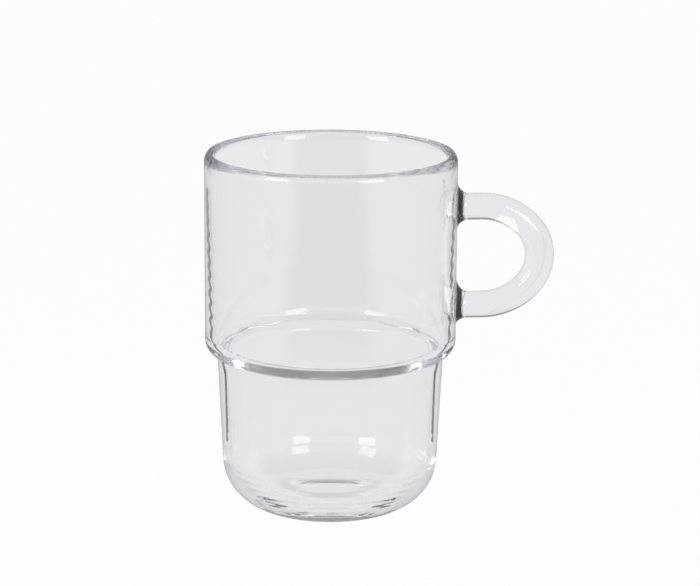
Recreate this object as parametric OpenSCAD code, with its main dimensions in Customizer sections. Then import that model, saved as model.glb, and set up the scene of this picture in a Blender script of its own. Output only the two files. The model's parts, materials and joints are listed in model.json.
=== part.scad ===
// Stacking cortado glass: a stepped clear glass cup with a round loop handle welded to its sleeve.
// The cup's axis is Z and the table is at z = 0. The handle lies along +X.

/* [Sleeve] */
// Outer diameter of the upper sleeve, which is the widest part of the cup
sleeve_d = 70; // [62:0.5:78]
// Height from the table to the top of the lip
cup_h = 101.1; // [96:0.1:112]
// Thickness of the glass in the sleeve
wall = 3; // [2.4:0.1:3.6]
// Height of the lip's round on the outside
lip_out = 2.5; // [1.8:0.1:3.2]
// Height of the lip's round on the inside
lip_in = 3.2; // [1.8:0.1:4]
// Radius of the lip's crown
lip_crown = 0.8; // [0.5:0.05:1]

/* [Stacking shoulder] */
// Height of the shoulder's underside, which sits on the lip of the glass below
shoulder_z = 44.4; // [42:0.1:46]
// Radius of the shoulder's outer round
shoulder_round = 3.9; // [3.5:0.1:5]
// Radius of the small fillet between the shoulder and the lower cup
neck_fillet = 0.4; // [0.2:0.05:0.8]
// Gap all round between the lower cup and the bore of the glass it stacks in
stack_clearance = 0.45; // [0.3:0.05:1]
// Height where the bore of the sleeve begins to turn in to the lower cup
ledge_z = 49.8; // [49:0.1:51]
// Radius of the hollow half of the inner ledge
ledge_hollow = 4; // [3.6:0.1:5]
// Radius of the full half of the inner ledge
ledge_nose = 2.8; // [2.2:0.1:4]

/* [Lower cup] */
// Taper of the lower cup outside, in degrees from upright
lower_taper = 2.8; // [1:0.1:4]
// Taper of the lower cup inside, in degrees from upright
inner_taper = 0.6; // [0.2:0.1:1]
// Thickness of the glass at the top of the lower cup
lower_wall = 4.1; // [3.6:0.1:4.6]
// Outer radius of the heel
heel_round = 14.2; // [10:0.2:16]
// Inner radius of the heel
inner_heel_round = 11; // [9:0.1:12]
// Height of the inside floor above the table
floor_t = 5; // [4.4:0.1:6.4]

/* [Foot] */
// Diameter of the hollow under the foot
punt_d = 22.4; // [16:0.2:26]
// Height of the hollow at its middle
punt_h = 2; // [0.8:0.1:2.4]

/* [Handle] */
// Diameter of the handle's rod at the far end of the loop
rod_d = 8.1; // [7:0.1:8.8]
// Diameter of the rod along its two straight legs
leg_d = 7.5; // [6.4:0.1:8]
// Height of the middle of the handle above the table
handle_z = 71.5; // [70:0.1:73]
// Distance between the centre lines of the two legs
leg_gap = 28; // [25:0.2:30]
// How far the handle stands out from the sleeve
handle_reach = 27.4; // [25:0.1:32]
// Radius of the rod's centre line where a leg turns into the loop
leg_bend = 17.3; // [16:0.1:20]
// Radius of the rod's centre line at the far end of the loop
end_bend = 12.1; // [10:0.1:12.4]
// How far a welded end flares along its leg
flare_length = 3.4; // [2.4:0.1:4]
// How far a welded end spreads sideways on the sleeve
flare_side = 2.4; // [1.6:0.1:3.2]
// How far the upper end spreads upwards, away from the finger
upper_flare_out = 3.9; // [2.5:0.1:5]
// How far the upper end spreads downwards, towards the finger
upper_flare_in = 2.9; // [2:0.1:4]
// How far the lower end spreads downwards, away from the finger
lower_flare_out = 2; // [1.4:0.1:3]
// How far the lower end spreads upwards, towards the finger
lower_flare_in = 5; // [3:0.1:6]

/* [Hidden] */
$fn = 96;
glass = [0.87, 0.87, 0.9, 0.55];

// How far a cut runs past the surface that it leaves
overrun = 2;
// How far two rounds that touch run into each other, so that they cross cleanly
lap = 0.003;
// Thickness of the glass at the edge of a welded end
flare_edge = 0.06;
// Facets round the rod, and steps along a welded end
rod_sides = 32;
flare_steps = 7;
// Turn of the rod from one ring to the next, at most, in degrees
turn_step = 7.5;

sleeve_r = sleeve_d / 2;
bore_r = sleeve_r - wall;
neck_r = bore_r - stack_clearance;

// Centre of the shoulder's round, in the plane of the profile
round_c = [sleeve_r - shoulder_round, shoulder_z + shoulder_round];

// Centre of the neck fillet, which touches the tapered wall and the shoulder's round
fillet_x = neck_r + neck_fillet / cos(lower_taper);
fillet_run = max(0, fillet_x - round_c.x);
fillet_c = [fillet_x, round_c.y - sqrt((shoulder_round + neck_fillet)^2 - fillet_run^2)];

// Radius of the lower cup at a height, outside and inside
function outer_r(z) = neck_r + (z - fillet_c.y) * tan(lower_taper);
function inner_r(z) = neck_r - lower_wall + (z - fillet_c.y) * tan(inner_taper);

// The point where a round of the given centre touches a tapered wall
function taper_touch(centre, round, taper) =
    centre + round * [cos(taper), -sin(taper)];

// Centres of the heel's rounds, which touch a level floor and a tapered wall
inner_heel_z = floor_t + inner_heel_round;
outer_heel_c = [outer_r(heel_round) - heel_round / cos(lower_taper), heel_round];
inner_heel_c = [inner_r(inner_heel_z) - inner_heel_round / cos(inner_taper), inner_heel_z];

// The lip is a small crown in the middle of the wall and two larger rounds that run down into its faces
lip_h = max(lip_in, lip_out);
lip_z = cup_h - lip_h;

// Radius of the round that leaves a face at the given depth below the rim and runs into the crown
function lip_round(depth) =
    let (inner_crown = lip_crown - lap)
    ((wall / 2)^2 + (depth - lip_crown)^2 - inner_crown^2) / (wall - 2 * inner_crown);

// Centre of the hollow half of the inner ledge
hollow_c = [bore_r - ledge_hollow, ledge_z];

// Centre of the full half, which touches the hollow one and the tapered inner wall.
// It is found in axes that lie across and along that wall.
across = [cos(inner_taper), -sin(inner_taper)];
along = [sin(inner_taper), cos(inner_taper)];
nose_across = ledge_nose + inner_r(0) * cos(inner_taper);
nose_run = nose_across - hollow_c * across;
nose_along = hollow_c * along - sqrt((ledge_hollow + ledge_nose)^2 - nose_run^2);
nose_c = nose_across * across + nose_along * along;

punt_sphere_r = ((punt_d / 2)^2 + punt_h^2) / (2 * punt_h);

rod_r = rod_d / 2;
leg_r = leg_d / 2;
upper_leg_z = handle_z + leg_gap / 2;
lower_leg_z = handle_z - leg_gap / 2;

// The loop is a leg bend, an end bend and a leg bend that run into each other without a corner
bend_angle = acos((leg_bend - leg_gap / 2) / (leg_bend - end_bend));
end_bend_x = sleeve_r + handle_reach - rod_r - end_bend;
leg_end_x = end_bend_x - (leg_bend - end_bend) * sin(bend_angle);

// The quarter of a round that faces outwards and down
module heel_quarter(centre, round) {
    intersection() {
        translate(centre) circle(r = round);
        translate([centre.x, centre.y - round]) square(round);
    }
}

// Half section of the cup as one solid lump, up to the foot of the lip
module outer_half() {
    difference() {
        polygon([
            [0, 0],
            [outer_heel_c.x, 0],
            taper_touch(outer_heel_c, heel_round, lower_taper),
            taper_touch(fillet_c, -neck_fillet, lower_taper),
            fillet_c,
            round_c,
            [sleeve_r, round_c.y],
            [sleeve_r, lip_z],
            [0, lip_z]
        ]);
        translate(fillet_c) circle(r = neck_fillet);
    }
    intersection() {
        translate(round_c) circle(r = shoulder_round);
        polygon([fillet_c, [sleeve_r, fillet_c.y], [sleeve_r, round_c.y], round_c]);
    }
    heel_quarter(outer_heel_c, heel_round);
}

// Half section of the space for the drink, whose wall steps in through a soft ledge
module cavity_half() {
    difference() {
        union() {
            polygon([
                [0, floor_t],
                [inner_heel_c.x, floor_t],
                taper_touch(inner_heel_c, inner_heel_round, inner_taper),
                taper_touch(nose_c, -ledge_nose, inner_taper),
                nose_c,
                hollow_c,
                [bore_r, hollow_c.y],
                [bore_r, cup_h + overrun],
                [0, cup_h + overrun]
            ]);
            translate(hollow_c) circle(r = ledge_hollow);
        }
        translate(nose_c) circle(r = ledge_nose + lap);
    }
    heel_quarter(inner_heel_c, inner_heel_round);
}

// One side of the lip in half section, measured from the middle of the rim.
// Side is 1 outside and -1 inside.
module lip_side(side, depth) {
    face = side * wall / 2;
    round = lip_round(depth);
    centre = [face - side * round, -depth];
    crown = [0, -lip_crown];
    touch = centre + (crown - centre) * round / norm(crown - centre);
    if (depth < lip_h)
        polygon([[0, -lip_h], [face, -lip_h], [face, -depth], [0, -depth]]);
    intersection() {
        translate(centre) circle(r = round);
        polygon([[0, -depth], [face, -depth], [face, touch.y], touch, crown]);
    }
}

// Half section of the fire-polished lip, measured from the middle of the rim
module lip_half() {
    lip_side(1, lip_out);
    lip_side(-1, lip_in);
    translate([0, -lip_crown]) circle(r = lip_crown);
}

module cup_body() {
    color(glass)
    difference() {
        rotate_extrude() {
            difference() {
                outer_half();
                cavity_half();
            }
            translate([sleeve_r - wall / 2, cup_h]) lip_half();
        }
        translate([0, 0, punt_h - punt_sphere_r]) sphere(r = punt_sphere_r);
    }
}

// Angles round the rod: 90 is the side away from the finger
rod_angles = [for (i = [0:rod_sides - 1]) 360 * i / rod_sides];

// How far a welded end spreads on the sleeve at an angle round its leg
function flare_spread(angle, out, in) =
    flare_side + ((sin(angle) > 0 ? out : in) - flare_side) * sin(angle)^2;

// One ring of a welded end, where share 0 is at the leg and share 1 is on the sleeve.
// Side is 1 for the upper leg and -1 for the lower one.
function flare_ring(share, z, side, out, in) = [
    for (angle = rod_angles)
        let (
            radius = leg_r + flare_spread(angle, out, in) * (1 - cos(90 * share)),
            y = radius * cos(angle),
            off = flare_edge + flare_length * (1 - sin(90 * share))
        )
        [sqrt(sleeve_r^2 - y^2) + off, y, z + side * radius * sin(angle)]
];

// The ring that carries a welded end on into the sleeve, where it is cut away
function sunk_ring(ring) = [for (p = ring) [sleeve_r - overrun, p.y, p.z]];

// A round ring of the rod that has turned by some degrees about a bend's centre
function bend_ring(centre, bend, turn) =
    let (radius = leg_r + (rod_r - leg_r) * sin(turn)^2)
    [
        for (angle = rod_angles)
            let (reach = bend + radius * sin(angle))
            [centre.x + reach * sin(turn), radius * cos(angle), centre.y + reach * cos(turn)]
    ];

// The rings of one bend, from one turn to another
function bend_rings(centre, bend, from, to) =
    let (steps = ceil((to - from) / turn_step))
    [for (k = [0:steps - 1]) bend_ring(centre, bend, from + (to - from) * k / steps)];

upper_flare = [
    for (k = [flare_steps:-1:0])
        flare_ring(k / flare_steps, upper_leg_z, 1, upper_flare_out, upper_flare_in)
];
lower_flare = [
    for (k = [0:flare_steps])
        flare_ring(k / flare_steps, lower_leg_z, -1, lower_flare_out, lower_flare_in)
];
upper_bend_c = [leg_end_x, upper_leg_z - leg_bend];
lower_bend_c = [leg_end_x, lower_leg_z + leg_bend];

handle_rings = concat(
    [sunk_ring(upper_flare[0])],
    upper_flare,
    bend_rings(upper_bend_c, leg_bend, 0, bend_angle),
    bend_rings([end_bend_x, handle_z], end_bend, bend_angle, 180 - bend_angle),
    bend_rings(lower_bend_c, leg_bend, 180 - bend_angle, 180),
    [bend_ring(lower_bend_c, leg_bend, 180)],
    lower_flare,
    [sunk_ring(lower_flare[flare_steps])]
);

// A closed tube through rings of points
module tube(rings) {
    sides = len(rings[0]);
    last = (len(rings) - 1) * sides;
    skin = [
        for (k = [0:len(rings) - 2], i = [0:sides - 1])
            let (
                a = k * sides + i,
                b = k * sides + (i + 1) % sides
            )
            each [[a, a + sides, b], [b, a + sides, b + sides]]
    ];
    ends = [
        [for (i = [0:sides - 1]) i],
        [for (i = [sides - 1:-1:0]) last + i]
    ];
    polyhedron([for (ring = rings) each ring], concat(skin, ends));
}

module handle() {
    color(glass)
    difference() {
        tube(handle_rings);
        cylinder(h = cup_h, r = sleeve_r);
    }
}

cup_body();
handle();
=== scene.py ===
import json
import math

import bmesh
import bpy
from mathutils import Matrix, Vector


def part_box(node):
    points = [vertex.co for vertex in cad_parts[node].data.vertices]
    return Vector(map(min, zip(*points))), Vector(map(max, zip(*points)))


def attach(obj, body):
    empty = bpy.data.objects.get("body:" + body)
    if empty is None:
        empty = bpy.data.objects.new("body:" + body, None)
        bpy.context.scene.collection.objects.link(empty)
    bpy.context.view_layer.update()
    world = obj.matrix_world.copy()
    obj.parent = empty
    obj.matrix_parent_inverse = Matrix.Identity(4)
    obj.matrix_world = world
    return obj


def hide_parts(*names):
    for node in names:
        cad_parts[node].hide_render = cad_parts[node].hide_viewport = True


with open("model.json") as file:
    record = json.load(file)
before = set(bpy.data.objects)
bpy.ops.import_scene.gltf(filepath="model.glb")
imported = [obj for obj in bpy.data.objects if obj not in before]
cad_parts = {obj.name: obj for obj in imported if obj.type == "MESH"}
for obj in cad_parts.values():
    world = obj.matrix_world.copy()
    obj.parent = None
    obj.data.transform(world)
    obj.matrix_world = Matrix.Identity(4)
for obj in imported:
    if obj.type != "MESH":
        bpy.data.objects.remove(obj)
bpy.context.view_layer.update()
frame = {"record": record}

MM = 0.001
QUARTER = math.pi / 2

# Sizes that the frame gives
cup_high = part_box("cup_body")[1]
mounts = {mount["name"]: mount for mount in frame["record"]["mounts"]}
CUP_H = cup_high.z
SLEEVE_R = cup_high.y
BORE_R = mounts["stack_bore"]["dims"]["r_mm"] * MM
HANDLE_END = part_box("handle")[1].x
WALL = SLEEVE_R - BORE_R

# Lip
LIP_OUT = 2.5 * MM
LIP_IN = 3.2 * MM
LIP_CROWN = 0.8 * MM

# Stacking shoulder, outside and inside
STACK_CLEARANCE = 0.45 * MM
SHOULDER_Z = 44.4 * MM
SHOULDER_ROUND = 3.9 * MM
NECK_FILLET = 0.4 * MM
LEDGE_Z = 49.8 * MM
LEDGE_HOLLOW = 4 * MM
LEDGE_NOSE = 2.8 * MM

# Lower cup and foot
TAPER = math.radians(2.8)
INNER_TAPER = math.radians(0.6)
LOWER_WALL = 4.1 * MM
HEEL_ROUND = 14.2 * MM
INNER_HEEL_ROUND = 11 * MM
FLOOR_T = 5 * MM
PUNT_R = 11.2 * MM
PUNT_H = 2 * MM

# Rings left in the inner wall by the press, which grow towards the foot of each wall
RIPPLE_PITCH = 3.8 * MM
RIPPLE_POINTS = 6
SLEEVE_RIPPLE = 0.010 * MM
LOWER_RIPPLE = 0.007 * MM
HEEL_RIPPLE = 0.012 * MM
HEEL_PITCH = 1.9 * MM
# How steeply the rings end at the foot of a wall, and at both ends of the heel
RIPPLE_EASE = 8
HEEL_EASE = 6

# Handle
ROD_R = 4.05 * MM
LEG_R = 3.75 * MM
HANDLE_Z = 71.5 * MM
LEG_GAP = 28 * MM
LEG_BEND = 17.3 * MM
END_BEND = 12.1 * MM
FLARE_LENGTH = 3.4 * MM
FLARE_SIDE = 2.4 * MM
UPPER_FLARE = (3.9 * MM, 2.9 * MM)
LOWER_FLARE = (2 * MM, 5 * MM)
# Streaks along the drawn rod: how many round it, how deep, and where the first one lies
ROD_STREAKS = ((5, 0.010 * MM, 0.4), (9, 0.006 * MM, 1.7), (14, 0.003 * MM, 0.9))

# Mesh counts
CUP_STEPS = 224
ARC_STEPS = 16
FOOT_STEPS = 2
OUTER_HEEL_STEPS = 32
LOWER_WALL_STEPS = 8
FILLET_STEPS = 8
SLEEVE_STEPS = 12
INNER_HEEL_STEPS = 80
INNER_FLOOR_STEPS = 6
ROD_SIDES = 96
BEND_STEPS = 16
FLARE_STEPS = 12
# Rings that close a flared end on the sleeve, as shares of its size
CLOSING_RINGS = (0.75, 0.5, 0.25)
# Points nearer than this are one point
TOUCH = 0.001 * MM

# Camera of the photograph, whose frame is 700 by 586
IMAGE_W = 700
FOCAL_PIXELS = 2942.2
CAMERA_DISTANCE = 0.82
CAMERA_AZIMUTH = math.radians(-3.0)
CAMERA_ELEVATION = math.radians(13.625)
CAMERA_ROLL = math.radians(0.351)
AIM_SIDE = 5.44 * MM
AIM_Z = 61.05 * MM
SENSOR_W = 36
CAMERA_REACH = 20


def mesh_object(name, bm, material):
    """Turns a finished bmesh into a smooth shaded object."""
    mesh = bpy.data.meshes.new(name)
    bm.to_mesh(mesh)
    bm.free()
    mesh.shade_smooth()
    mesh.materials.append(material)
    piece = bpy.data.objects.new(name, mesh)
    bpy.context.collection.objects.link(piece)
    return piece


# The cup

NECK_R = BORE_R - STACK_CLEARANCE
ROUND_C = Vector((SLEEVE_R - SHOULDER_ROUND, SHOULDER_Z + SHOULDER_ROUND))
FILLET_X = NECK_R + NECK_FILLET / math.cos(TAPER)
FILLET_DROP = math.sqrt((SHOULDER_ROUND + NECK_FILLET) ** 2 - (FILLET_X - ROUND_C.x) ** 2)
FILLET_C = Vector((FILLET_X, ROUND_C.y - FILLET_DROP))
# Turn from upright to the slope where the shoulder's round meets the neck's fillet
SHOULDER_TURN = math.atan2(FILLET_DROP, FILLET_X - ROUND_C.x)


def taper_axes(taper):
    """Directions across and along a tapered wall in the plane of the profile."""
    return Vector((math.cos(taper), -math.sin(taper))), Vector((math.sin(taper), math.cos(taper)))


def outer_r(z):
    """Radius of the lower cup outside, at a height."""
    return NECK_R + (z - FILLET_C.y) * math.tan(TAPER)


def inner_r(z):
    """Radius of the lower cup inside, at a height."""
    return NECK_R - LOWER_WALL + (z - FILLET_C.y) * math.tan(INNER_TAPER)


OUTER_ACROSS = taper_axes(TAPER)[0]
INNER_ACROSS, INNER_ALONG = taper_axes(INNER_TAPER)
INNER_HEEL_Z = FLOOR_T + INNER_HEEL_ROUND
OUTER_HEEL_C = Vector((outer_r(HEEL_ROUND) - HEEL_ROUND / math.cos(TAPER), HEEL_ROUND))
INNER_HEEL_C = Vector((inner_r(INNER_HEEL_Z) - INNER_HEEL_ROUND / math.cos(INNER_TAPER), INNER_HEEL_Z))

# The inner ledge: a hollow round below the bore, and a full round that touches it and the lower wall
HOLLOW_C = Vector((BORE_R - LEDGE_HOLLOW, LEDGE_Z))
NOSE_ACROSS = LEDGE_NOSE + inner_r(0) * math.cos(INNER_TAPER)
NOSE_RUN = NOSE_ACROSS - HOLLOW_C.dot(INNER_ACROSS)
NOSE_ALONG = HOLLOW_C.dot(INNER_ALONG) - math.sqrt((LEDGE_HOLLOW + LEDGE_NOSE) ** 2 - NOSE_RUN ** 2)
NOSE_C = NOSE_ACROSS * INNER_ACROSS + NOSE_ALONG * INNER_ALONG
LEDGE_TURN = math.atan2(HOLLOW_C.y - NOSE_C.y, NOSE_C.x - HOLLOW_C.x)


def pen_line(bm, pen, r, z, steps, wave=None):
    """Draws a straight stretch of the profile from the pen's vertex, and gives its end."""
    start, end = pen.co.copy(), Vector((r, 0, z))
    for step in range(1, steps + 1):
        made = bmesh.ops.extrude_vert_indiv(bm, verts=[pen])
        pen = made["verts"][0]
        pen.co = start.lerp(end, step / steps)
        if wave:
            pen.co.x += wave(pen.co.z)
    return pen


def pen_arc(bm, pen, centre, turn, steps=ARC_STEPS):
    """Draws a round stretch of the profile about a centre, and gives its end."""
    made = bmesh.ops.spin(bm, geom=[pen], cent=(centre.x, 0, centre.y), axis=(0, 1, 0),
                          angle=turn, steps=steps, use_duplicate=False, use_merge=False)
    return next(item for item in made["geom_last"] if isinstance(item, bmesh.types.BMVert))


def ripple(depth, low, high):
    """Depth of the press rings at a height: none at the high end of a wall, most near its foot."""
    def wave(z):
        share = max(0, min(1, (high - z) / (high - low)))
        rise = share * min(1, (1 - share) * RIPPLE_EASE)
        return depth * rise * math.sin(2 * math.pi * z / RIPPLE_PITCH)
    return wave


def ripple_steps(low, high):
    """Points along a wall with press rings."""
    return math.ceil((high - low) / RIPPLE_PITCH * RIPPLE_POINTS)


def pen_lip(bm, pen):
    """Draws the lip: a round up from the outside, a small crown, and a round down to the inside."""
    crown = Vector((SLEEVE_R - WALL / 2, CUP_H - LIP_CROWN))
    half = WALL / 2
    turns, centres = [], []
    for side, depth in ((1, LIP_OUT), (-1, LIP_IN)):
        rise = depth - LIP_CROWN
        round_r = (half ** 2 + rise ** 2 - LIP_CROWN ** 2) / (WALL - 2 * LIP_CROWN)
        centre = Vector((crown.x + side * (half - round_r), CUP_H - depth))
        centres.append(centre)
        turns.append(math.atan2(rise, side * (crown.x - centre.x)))
    pen = pen_line(bm, pen, SLEEVE_R, CUP_H - LIP_OUT, SLEEVE_STEPS)
    pen = pen_arc(bm, pen, centres[0], -turns[0])
    pen = pen_arc(bm, pen, crown, -(math.pi - turns[0] - turns[1]))
    return pen_arc(bm, pen, centres[1], -turns[1])


def spin_round(bm, steps):
    """Spins a profile through an eighth of a turn, then doubles it three times to close the round."""
    bmesh.ops.spin(bm, geom=bm.verts[:] + bm.edges[:], cent=(0, 0, 0), axis=(0, 0, 1),
                   angle=math.pi / 4, steps=steps // 8, use_duplicate=False, use_merge=False)
    for turn in (math.pi / 4, math.pi / 2, math.pi):
        copy = bmesh.ops.duplicate(bm, geom=bm.verts[:] + bm.edges[:] + bm.faces[:])["geom"]
        verts = [item for item in copy if isinstance(item, bmesh.types.BMVert)]
        bmesh.ops.rotate(bm, verts=verts, cent=(0, 0, 0), matrix=Matrix.Rotation(turn, 3, "Z"))
    bmesh.ops.remove_doubles(bm, verts=bm.verts[:], dist=TOUCH)
    bmesh.ops.recalc_face_normals(bm, faces=bm.faces[:])


def ring_heel(bm, top, foot):
    """Presses faint rings into the inner heel, between its ends."""
    middle = Vector((INNER_HEEL_C.x, 0, INNER_HEEL_C.y))
    whole = (top.co - middle).angle(foot.co - middle)
    for v in bm.verts:
        out = v.co - middle
        if abs(out.length - INNER_HEEL_ROUND) > TOUCH or out.x < 0 or out.z > 0:
            continue
        share = (top.co - middle).angle(out) / whole
        fade = min(1, HEEL_EASE * share, HEEL_EASE * (1 - share))
        turn = 2 * math.pi * share * whole * INNER_HEEL_ROUND / HEEL_PITCH
        v.co = middle + out * (1 + HEEL_RIPPLE * fade * math.sin(turn) / out.length)


def make_cup(material):
    """The cup: one closed profile, from under the foot up the outside and down the inside, spun round."""
    bm = bmesh.new()
    pen = bm.verts.new((0, 0, PUNT_H))
    # The hollow under the foot
    dome_r = (PUNT_R ** 2 + PUNT_H ** 2) / (2 * PUNT_H)
    pen = pen_arc(bm, pen, Vector((0, PUNT_H - dome_r)), math.asin(PUNT_R / dome_r))
    pen = pen_line(bm, pen, OUTER_HEEL_C.x, 0, FOOT_STEPS)
    # The outside
    pen = pen_arc(bm, pen, OUTER_HEEL_C, -(QUARTER - TAPER), OUTER_HEEL_STEPS)
    neck_low = FILLET_C - NECK_FILLET * OUTER_ACROSS
    pen = pen_line(bm, pen, neck_low.x, neck_low.y, LOWER_WALL_STEPS)
    pen = pen_arc(bm, pen, FILLET_C, SHOULDER_TURN - TAPER, FILLET_STEPS)
    pen = pen_arc(bm, pen, ROUND_C, -SHOULDER_TURN)
    pen = pen_lip(bm, pen)
    # The inside
    bore_top = pen.co.z
    pen = pen_line(bm, pen, BORE_R, LEDGE_Z, ripple_steps(LEDGE_Z, bore_top),
                   ripple(SLEEVE_RIPPLE, LEDGE_Z, bore_top))
    pen = pen_arc(bm, pen, HOLLOW_C, LEDGE_TURN)
    pen = pen_arc(bm, pen, NOSE_C, -(LEDGE_TURN - INNER_TAPER))
    wall_low = INNER_HEEL_C + INNER_HEEL_ROUND * INNER_ACROSS
    pen = pen_line(bm, pen, wall_low.x, wall_low.y, ripple_steps(wall_low.y, pen.co.z),
                   ripple(LOWER_RIPPLE, wall_low.y, pen.co.z))
    heel_top = pen
    pen = pen_arc(bm, pen, INNER_HEEL_C, QUARTER - INNER_TAPER, INNER_HEEL_STEPS)
    ring_heel(bm, heel_top, pen)
    pen_line(bm, pen, 0, FLOOR_T, INNER_FLOOR_STEPS)
    spin_round(bm, CUP_STEPS)
    return mesh_object("cup_glass", bm, material)


# The handle

LOOP_END_X = HANDLE_END - ROD_R - END_BEND
BEND_TURN = math.acos((LEG_BEND - LEG_GAP / 2) / (LEG_BEND - END_BEND))
LEG_END_X = LOOP_END_X - (LEG_BEND - END_BEND) * math.sin(BEND_TURN)


def ring_edges(verts):
    """The edges that join the vertices of one ring to each other."""
    inside = set(verts)
    return list({edge for v in verts for edge in v.link_edges if set(edge.verts) <= inside})


def extrude_ring(bm, verts):
    """Extrudes a ring, and gives the new ring's vertices."""
    made = bmesh.ops.extrude_edge_only(bm, edges=ring_edges(verts))["geom"]
    return [item for item in made if isinstance(item, bmesh.types.BMVert)]


def bend_rod(bm, verts, centre, turn, turned):
    """Carries the rod's end round a bend, and swells it towards the far end of the loop."""
    pivot = Vector((centre.x, 0, centre.y))
    for step in range(BEND_STEPS):
        verts = extrude_ring(bm, verts)
        angle = turn / BEND_STEPS
        bmesh.ops.rotate(bm, verts=verts, cent=pivot, matrix=Matrix.Rotation(angle, 3, "Y"))
        middle = sum((v.co for v in verts), Vector()) / len(verts)
        total = turned + angle * (step + 1)
        now = sum((v.co - middle).length for v in verts) / len(verts)
        wanted = LEG_R + (ROD_R - LEG_R) * math.sin(total) ** 2
        bmesh.ops.scale(bm, verts=verts, vec=(wanted / now,) * 3, space=Matrix.Translation(-middle))
    return verts


def flare_rod(bm, verts, leg_z, side, spread):
    """Spreads the end of a leg on the sleeve, and closes it there."""
    outwards, inwards = spread
    angles = {v: math.atan2((v.co.z - leg_z) * side, v.co.y) for v in verts}
    for step in range(FLARE_STEPS + 1):
        share = QUARTER * step / FLARE_STEPS
        old = verts
        verts = extrude_ring(bm, old)
        # A new ring's vertex lies on the old one that it came from
        home = {tuple(v.co): angles[v] for v in old}
        angles = {v: home[tuple(v.co)] for v in verts}
        for v, angle in angles.items():
            reach = outwards if math.sin(angle) > 0 else inwards
            reach = FLARE_SIDE + (reach - FLARE_SIDE) * math.sin(angle) ** 2
            radius = LEG_R + reach * (1 - math.cos(share))
            v.co.y = radius * math.cos(angle)
            v.co.z = leg_z + side * radius * math.sin(angle)
            v.co.x = math.sqrt(SLEEVE_R ** 2 - v.co.y ** 2) + FLARE_LENGTH * (1 - math.sin(share))
    middle = Vector((0, 0, leg_z))
    for share in CLOSING_RINGS:
        verts = extrude_ring(bm, verts)
        for v in verts:
            v.co = middle + (v.co - middle) * share
            v.co.x = math.sqrt(SLEEVE_R ** 2 - v.co.y ** 2)
    bmesh.ops.contextual_create(bm, geom=ring_edges(verts))


def make_handle(material):
    """The handle: a round rod drawn round its loop, with a flared weld at each end."""
    upper_z, lower_z = HANDLE_Z + LEG_GAP / 2, HANDLE_Z - LEG_GAP / 2
    bm = bmesh.new()
    across = Matrix.Translation((LEG_END_X, 0, upper_z)) @ Matrix.Rotation(QUARTER, 4, "Y")
    first = bmesh.ops.create_circle(bm, segments=ROD_SIDES, radius=LEG_R, matrix=across)["verts"]
    # The first ring's streaks are carried round the loop
    middle = Vector((LEG_END_X, 0, upper_z))
    for v in first:
        turn = math.atan2(v.co.z - upper_z, v.co.y)
        streak = sum(depth * math.sin(count * turn + start) for count, depth, start in ROD_STREAKS)
        v.co = middle + (v.co - middle) * (1 + streak / LEG_R)
    last = bend_rod(bm, first, Vector((LEG_END_X, upper_z - LEG_BEND)), BEND_TURN, 0)
    last = bend_rod(bm, last, Vector((LOOP_END_X, HANDLE_Z)), math.pi - 2 * BEND_TURN, BEND_TURN)
    last = bend_rod(bm, last, Vector((LEG_END_X, lower_z + LEG_BEND)), BEND_TURN, math.pi - BEND_TURN)
    flare_rod(bm, first, upper_z, 1, UPPER_FLARE)
    flare_rod(bm, last, lower_z, -1, LOWER_FLARE)
    bmesh.ops.recalc_face_normals(bm, faces=bm.faces[:])
    return mesh_object("handle_glass", bm, material)


# Materials

# Tint of the glass, and how fast it takes light away along a metre
GLASS_TINT = (0, 0.03, 0.16, 1)
GLASS_DENSITY = 2.3
GLASS_IOR = 1.5
CLEAR_COLOUR = (0.99, 0.99, 0.99, 1)
# Painted shade round the handle's fused joint, standing in for light trapped there, from a thin skin off
# its seat to a soft end
WELD_PAINTED_SHADE = (0.004, 0.004, 0.006, 1)
WELD_SHADE_SKIN = 0.2 * MM
WELD_SHADE_DEPTH = 1.8 * MM
WELD_SHADE_FADE = 0.4 * MM
# The faint waves and haze of fire polishing
WAVE_SCALE = 90
WAVE_DETAIL = 1
WAVE_DEPTH = 0.003 * MM
HAZE_SCALE = 40
HAZE_FROM = (0.45, 0.75)
HAZE_MOST = 0.012


def node_material(name):
    """An empty node material, its tree and its output node."""
    material = bpy.data.materials.new(name)
    material.use_nodes = True
    tree = material.node_tree
    tree.nodes.clear()
    return material, tree, tree.nodes.new("ShaderNodeOutputMaterial")


def calculate(tree, operation, *values):
    """The result of a sum whose values are sockets or plain numbers."""
    node = tree.nodes.new("ShaderNodeMath")
    node.operation = operation
    for socket, value in zip(node.inputs, values):
        if isinstance(value, bpy.types.NodeSocket):
            tree.links.new(value, socket)
        else:
            socket.default_value = value
    return node.outputs[0]


def map_range(tree, source, low, high, to_low, to_high):
    """A soft step from one value to another."""
    step = tree.nodes.new("ShaderNodeMapRange")
    step.interpolation_type = "SMOOTHSTEP"
    for socket, value in zip(("From Min", "From Max", "To Min", "To Max"), (low, high, to_low, to_high)):
        step.inputs[socket].default_value = value
    tree.links.new(source, step.inputs["Value"])
    return step.outputs["Result"]


def distance(tree, place):
    """How far a place is from the origin."""
    length = tree.nodes.new("ShaderNodeVectorMath")
    length.operation = "LENGTH"
    tree.links.new(place, length.inputs[0])
    return length.outputs["Value"]


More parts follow.
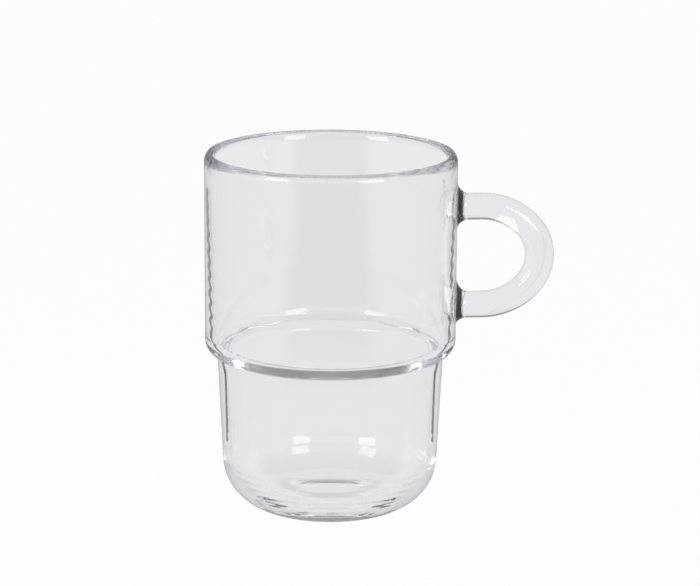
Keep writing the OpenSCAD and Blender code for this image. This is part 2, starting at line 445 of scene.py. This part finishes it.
def fire_polish():
    """Shared finish of both glasses: faint haze and waves that change over the surface."""
    group = bpy.data.node_groups.new("fire_polish", "ShaderNodeTree")
    group.interface.new_socket("Roughness", in_out="OUTPUT", socket_type="NodeSocketFloat")
    group.interface.new_socket("Normal", in_out="OUTPUT", socket_type="NodeSocketVector")
    leave = group.nodes.new("NodeGroupOutput")
    place = group.nodes.new("ShaderNodeTexCoord").outputs["Object"]
    haze = group.nodes.new("ShaderNodeTexNoise")
    haze.inputs["Scale"].default_value = HAZE_SCALE
    group.links.new(place, haze.inputs["Vector"])
    roughness = map_range(group, haze.outputs["Fac"], *HAZE_FROM, 0, HAZE_MOST)
    group.links.new(roughness, leave.inputs["Roughness"])
    waves = group.nodes.new("ShaderNodeTexNoise")
    waves.inputs["Scale"].default_value = WAVE_SCALE
    waves.inputs["Detail"].default_value = WAVE_DETAIL
    group.links.new(place, waves.inputs["Vector"])
    bump = group.nodes.new("ShaderNodeBump")
    bump.inputs["Distance"].default_value = WAVE_DEPTH
    group.links.new(waves.outputs["Fac"], bump.inputs["Height"])
    group.links.new(bump.outputs["Normal"], leave.inputs["Normal"])
    return group


def painted_weld_shade(tree):
    """Colour of the handle: clear, with painted shade seen from outside round the joint that is fused to
    the sleeve, standing in for light trapped there.
    """
    level = tree.nodes.new("ShaderNodeVectorMath")
    level.operation = "MULTIPLY"
    level.inputs[1].default_value = (1, 1, 0)
    tree.links.new(tree.nodes.new("ShaderNodeTexCoord").outputs["Object"], level.inputs[0])
    # The distance from the cup's axis tells how near the sleeve is
    radius = distance(tree, level.outputs["Vector"])
    joint_end = SLEEVE_R + WELD_SHADE_DEPTH
    near = map_range(tree, radius, joint_end - WELD_SHADE_FADE, joint_end + WELD_SHADE_FADE, 1, 0)
    off_seat = map_range(tree, radius, SLEEVE_R, SLEEVE_R + WELD_SHADE_SKIN, 0, 1)
    backfacing = tree.nodes.new("ShaderNodeNewGeometry").outputs["Backfacing"]
    outside = map_range(tree, backfacing, 0, 1, 1, 0)
    # Painted shade: the mask where the darkness of light trapped in the joint is laid into the base colour
    painted_shade_mask = calculate(tree, "MULTIPLY", near, off_seat)
    colour = tree.nodes.new("ShaderNodeMix")
    colour.data_type = "RGBA"
    colour.inputs["A"].default_value = CLEAR_COLOUR
    colour.inputs["B"].default_value = WELD_PAINTED_SHADE
    tree.links.new(calculate(tree, "MULTIPLY", painted_shade_mask, outside), colour.inputs["Factor"])
    return colour.outputs["Result"]


def clear_glass(name, polish):
    """Clear soda glass that lets lamp light through to the floor, with its tree and its shader."""
    material, tree, output = node_material(name)
    glass = tree.nodes.new("ShaderNodeBsdfPrincipled")
    finish = tree.nodes.new("ShaderNodeGroup")
    finish.node_tree = polish
    tree.links.new(finish.outputs["Roughness"], glass.inputs["Roughness"])
    tree.links.new(finish.outputs["Normal"], glass.inputs["Normal"])
    glass.inputs["Base Color"].default_value = CLEAR_COLOUR
    glass.inputs["IOR"].default_value = GLASS_IOR
    glass.inputs["Transmission Weight"].default_value = 1
    through = tree.nodes.new("ShaderNodeBsdfTransparent")
    path = tree.nodes.new("ShaderNodeLightPath")
    mix = tree.nodes.new("ShaderNodeMixShader")
    tree.links.new(path.outputs["Is Shadow Ray"], mix.inputs["Fac"])
    tree.links.new(glass.outputs["BSDF"], mix.inputs[1])
    tree.links.new(through.outputs["BSDF"], mix.inputs[2])
    tree.links.new(mix.outputs["Shader"], output.inputs["Surface"])
    tint = tree.nodes.new("ShaderNodeVolumeAbsorption")
    tint.inputs["Color"].default_value = GLASS_TINT
    tint.inputs["Density"].default_value = GLASS_DENSITY
    tree.links.new(tint.outputs["Volume"], output.inputs["Volume"])
    return material, tree, glass


def cup_glass(polish):
    """The cup's glass, clear all over."""
    return clear_glass("cup_clear", polish)[0]


def handle_glass(polish):
    """The handle's glass, with painted shade at its fused joints."""
    material, tree, glass = clear_glass("handle_clear", polish)
    tree.links.new(painted_weld_shade(tree), glass.inputs["Base Color"])
    return material


# The white stage's own paper, and what it shows straight, through glass, and as a reflection
STAGE_MATT = (0.9, 0.9, 0.9, 1)
SEEN_STRAIGHT = (1, 1, 1, 1)
SEEN_THROUGH = (0.845, 0.83, 0.86, 1)
SEEN_REFLECTED = (0.35, 0.35, 0.36, 1)
STRAIGHT_SHARE = 0.97
# A soft shade on the floor behind the sleeve, seen through the glass: where it fades, and its depth
SHADE_SIDE = (0.017, 0.027)
SHADE_BEHIND = (0.12, 0.24)
SHADE_DEPTH = 0.08
# The faint shadow where the foot's ring stands on the floor, as radii, and its depth
CONTACT_RING = (0.009, 0.0135, 0.018)
CONTACT_DEPTH = 0.17
# Dark paper, for light that crossed fewer surfaces than two walls have, and was turned back inside one
STRIP_COLOUR = (0.12, 0.12, 0.126, 1)
ONE_WALL = 2.5
TURNED_BACK = 0.5


def stage_place(tree, coordinates):
    """A place turned to the photograph's view, how far it is to the side, and how far behind."""
    turn = tree.nodes.new("ShaderNodeVectorRotate")
    turn.rotation_type = "Z_AXIS"
    turn.inputs["Angle"].default_value = -CAMERA_AZIMUTH
    tree.links.new(tree.nodes.new("ShaderNodeTexCoord").outputs[coordinates], turn.inputs["Vector"])
    parts = tree.nodes.new("ShaderNodeSeparateXYZ")
    tree.links.new(turn.outputs["Vector"], parts.inputs["Vector"])
    return turn.outputs["Vector"], calculate(tree, "ABSOLUTE", parts.outputs["X"]), parts.outputs["Y"]


def soft_shade(tree):
    """Strength of the paper seen through glass: less behind the middle of the sleeve and under the foot."""
    place, side, behind = stage_place(tree, "Object")
    middle = calculate(tree, "MULTIPLY", map_range(tree, side, *SHADE_SIDE, SHADE_DEPTH, 0),
                       map_range(tree, behind, *SHADE_BEHIND, 0, 1))
    radius = distance(tree, place)
    inner, peak, outer = CONTACT_RING
    ring = calculate(tree, "MULTIPLY", map_range(tree, radius, inner, peak, 0, CONTACT_DEPTH),
                     map_range(tree, radius, peak, outer, 1, 0))
    return calculate(tree, "SUBTRACT", calculate(tree, "SUBTRACT", 1, middle), ring)


def glow_over(tree, under, share, colour):
    """Lays a plain glow over a shader for a share of the light, and gives the mix and the glow."""
    glow = tree.nodes.new("ShaderNodeEmission")
    glow.inputs["Color"].default_value = colour
    mix = tree.nodes.new("ShaderNodeMixShader")
    tree.links.new(share, mix.inputs["Fac"])
    tree.links.new(under, mix.inputs[1])
    tree.links.new(glow.outputs["Emission"], mix.inputs[2])
    return mix.outputs["Shader"], glow


def white_stage(name):
    """White paper: white behind the glass, a little greyer through it, and still with a soft shadow."""
    material, tree, output = node_material(name)
    matt = tree.nodes.new("ShaderNodeBsdfDiffuse")
    matt.inputs["Color"].default_value = STAGE_MATT
    path = tree.nodes.new("ShaderNodeLightPath")
    shader = glow_over(tree, matt.outputs["BSDF"], path.outputs["Is Glossy Ray"], SEEN_REFLECTED)[0]
    shader, through = glow_over(tree, shader, path.outputs["Is Transmission Ray"], SEEN_THROUGH)
    tree.links.new(soft_shade(tree), through.inputs["Strength"])
    straight = calculate(tree, "MULTIPLY", path.outputs["Is Camera Ray"], STRAIGHT_SHARE)
    shader = glow_over(tree, shader, straight, SEEN_STRAIGHT)[0]
    tree.links.new(shader, output.inputs["Surface"])
    return material


def dark_paper(name):
    """Dark paper that shows only in the edges of the glass, by light turned back inside a single wall."""
    material, tree, output = node_material(name)
    clear = tree.nodes.new("ShaderNodeBsdfTransparent")
    path = tree.nodes.new("ShaderNodeLightPath")
    single = calculate(tree, "LESS_THAN", path.outputs["Transmission Depth"], ONE_WALL)
    turned = calculate(tree, "GREATER_THAN", path.outputs["Glossy Depth"], TURNED_BACK)
    edge = calculate(tree, "MULTIPLY", single, turned)
    shader = glow_over(tree, clear.outputs["BSDF"], edge, STRIP_COLOUR)[0]
    tree.links.new(shader, output.inputs["Surface"])
    return material


# Studio

FLOOR_R = 3.0
SWEEP_R = 0.3
BACKDROP_H = 2.1
# Mesh counts of the floor, its sweep, its wall, and all round
STAGE_FLOOR_STEPS = 6
STAGE_SWEEP_STEPS = 8
STAGE_WALL_STEPS = 2
STAGE_ROUND_STEPS = 64


def make_floor():
    """A round white floor that sweeps up into a white wall all round."""
    bm = bmesh.new()
    pen = bm.verts.new((0, 0, 0))
    pen = pen_line(bm, pen, FLOOR_R - SWEEP_R, 0, STAGE_FLOOR_STEPS)
    pen = pen_arc(bm, pen, Vector((FLOOR_R - SWEEP_R, SWEEP_R)), -QUARTER, STAGE_SWEEP_STEPS)
    pen_line(bm, pen, FLOOR_R, BACKDROP_H, STAGE_WALL_STEPS)
    spin_round(bm, STAGE_ROUND_STEPS)
    mesh_object("floor", bm, white_stage("floor_white"))


# Path of a strip on the floor: how far to the side and behind the glass, and its half width, in metres
STRIP_PATH = ((0.075, 0.07, 0.008), (0.135, 0.16, 0.012), (0.162, 0.28, 0.024), (0.160, 0.42, 0.034))
STRIP_LIFT = 0.5 * MM


def make_strip(name, side):
    """A strip of dark paper on the floor, behind the glass and to one side."""
    bm = bmesh.new()
    row = [bm.verts.new((edge, 0, STRIP_LIFT)) for edge in (-1, 1)]
    bmesh.ops.contextual_create(bm, geom=row)
    for index, (lateral, behind, half) in enumerate(STRIP_PATH):
        if index:
            row = extrude_ring(bm, row)
        inner, outer = sorted(row, key=lambda v: side * v.co.x)
        inner.co = (side * (lateral - half), behind, STRIP_LIFT)
        outer.co = (side * (lateral + half), behind, STRIP_LIFT)
    bmesh.ops.rotate(bm, verts=bm.verts[:], cent=(0, 0, 0), matrix=Matrix.Rotation(CAMERA_AZIMUTH, 3, "Z"))
    strip = mesh_object(name, bm, dark_paper(name + "_dark"))
    strip.visible_camera = False
    strip.visible_diffuse = False
    strip.visible_glossy = False
    strip.visible_shadow = False


LAMP_DISTANCE = 1.2
LAMP_RISE = math.radians(21)
LAMP_SIZE = (0.46, 0.52)
LAMP_RADIANCE = 4.4
LEFT_LAMP_TURN = math.radians(-50)
RIGHT_LAMP_TURN = math.radians(38)


def make_softbox(name, side_turn):
    """A tall soft lamp at a turn to one side of the camera, facing the middle of the glass."""
    turn = side_turn + CAMERA_AZIMUTH
    level = Vector((math.sin(turn), -math.cos(turn), 0))
    aim = Vector((0, 0, CUP_H / 2))
    place = aim + LAMP_DISTANCE * (math.cos(LAMP_RISE) * level + Vector((0, 0, math.sin(LAMP_RISE))))
    lamp = bpy.data.lights.new(name, "AREA")
    lamp.shape = "RECTANGLE"
    lamp.size, lamp.size_y = LAMP_SIZE
    lamp.energy = LAMP_RADIANCE * math.pi * LAMP_SIZE[0] * LAMP_SIZE[1]
    box = bpy.data.objects.new(name, lamp)
    box.location = place
    box.rotation_euler = (aim - place).to_track_quat("-Z", "Y").to_euler()
    bpy.context.collection.objects.link(box)


ROOM_LIGHT = (0.28, 0.28, 0.28, 1)
ROOM_DARK = (0.04, 0.04, 0.046, 1)
ROOM_SIDE = (0.4, 0.75)


def make_world():
    """The room above the white wall: light in front and behind, dark to the left and right."""
    world = bpy.data.worlds.new("studio")
    bpy.context.scene.world = world
    world.use_nodes = True
    tree = world.node_tree
    side = stage_place(tree, "Generated")[1]
    mix = tree.nodes.new("ShaderNodeMix")
    mix.data_type = "RGBA"
    mix.inputs["A"].default_value = ROOM_LIGHT
    mix.inputs["B"].default_value = ROOM_DARK
    tree.links.new(map_range(tree, side, *ROOM_SIDE, 0, 1), mix.inputs["Factor"])
    tree.links.new(mix.outputs["Result"], tree.nodes["Background"].inputs["Color"])


def make_camera():
    """The camera at the photograph's place, with its slight tilt."""
    turn = Matrix.Rotation(CAMERA_AZIMUTH, 3, "Z")
    aim = turn @ Vector((AIM_SIDE, 0, AIM_Z))
    back = turn @ Vector((0, -math.cos(CAMERA_ELEVATION), math.sin(CAMERA_ELEVATION)))
    place = turn @ Vector((0, 0, AIM_Z)) + CAMERA_DISTANCE * back
    data = bpy.data.cameras.new("camera")
    data.sensor_width = SENSOR_W
    data.lens = FOCAL_PIXELS / IMAGE_W * SENSOR_W
    data.clip_end = CAMERA_REACH
    camera = bpy.data.objects.new("camera", data)
    look = (aim - place).to_track_quat("-Z", "Y")
    camera.matrix_world = (Matrix.Translation(place) @ look.to_matrix().to_4x4()
                           @ Matrix.Rotation(CAMERA_ROLL, 4, "Z"))
    bpy.context.collection.objects.link(camera)
    bpy.context.scene.camera = camera


# Times that light may cross or turn inside the glass
GLASS_BOUNCES = 96

make_camera()
polish = fire_polish()
cup = make_cup(cup_glass(polish))
handle = make_handle(handle_glass(polish))
for piece, node, slot in ((cup, "cup_body", "cup_glass"), (handle, "handle", "handle_glass")):
    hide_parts(node)
    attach(piece, "root")

make_floor()
make_strip("left_strip", -1)
make_strip("right_strip", 1)
make_softbox("left_softbox", LEFT_LAMP_TURN)
make_softbox("right_softbox", RIGHT_LAMP_TURN)
make_world()

scene = bpy.context.scene
scene.view_settings.view_transform = "Standard"
scene.cycles.max_bounces = GLASS_BOUNCES
scene.cycles.transmission_bounces = GLASS_BOUNCES
scene.cycles.glossy_bounces = GLASS_BOUNCES
